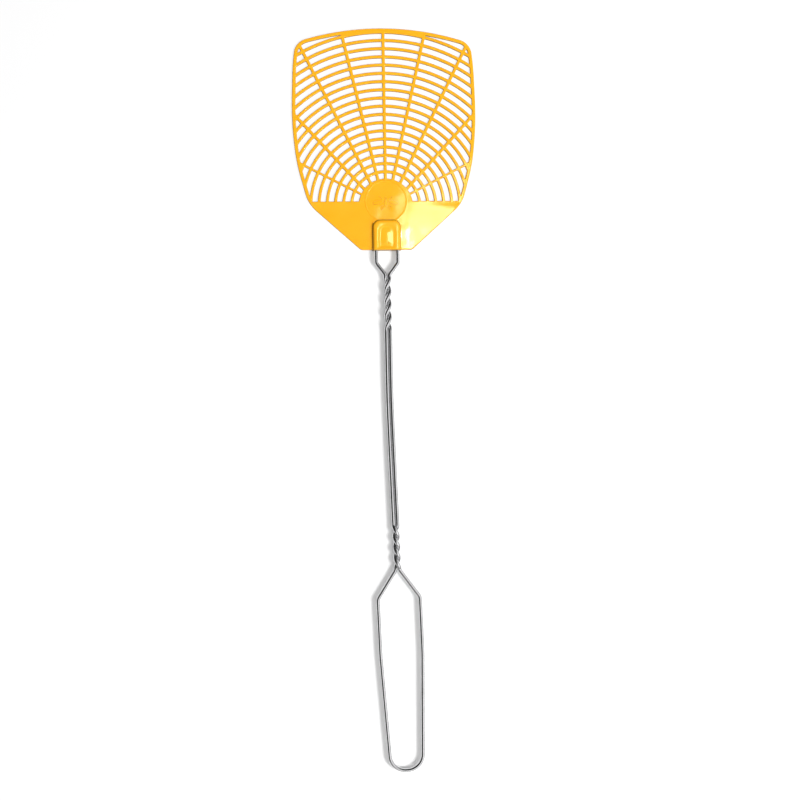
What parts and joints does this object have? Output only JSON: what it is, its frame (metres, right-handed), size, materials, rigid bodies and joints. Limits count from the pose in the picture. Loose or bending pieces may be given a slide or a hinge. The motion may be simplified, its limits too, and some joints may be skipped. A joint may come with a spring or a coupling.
{
  "type": "fly swatter",
  "caption": "Hand fly swatter: flexible yellow fan-net head with a front socket, on a twisted bright steel wire handle ending in a long hand loop.",
  "frame": {"origin": "middle of the bounding box, on the plane that the swatter's flat back lies on", "axes": "+Y from the hand loop to the head, +Z out of the front of the head, where the socket stands proud, +X to the right across the head as the front is looked at"},
  "size_m": [0.1148, 0.4678, 0.0052],
  "materials": {
    "head_plastic": "soft gloss polyethylene, warm yellow, slightly translucent where it is thin",
    "handle_wire": "bright drawn and plated steel wire with faint die lines along it"
  },
  "bodies": {
    "root": {"swatter_head": "head_plastic", "wire_handle": "handle_wire"}
  },
  "joints": []
}
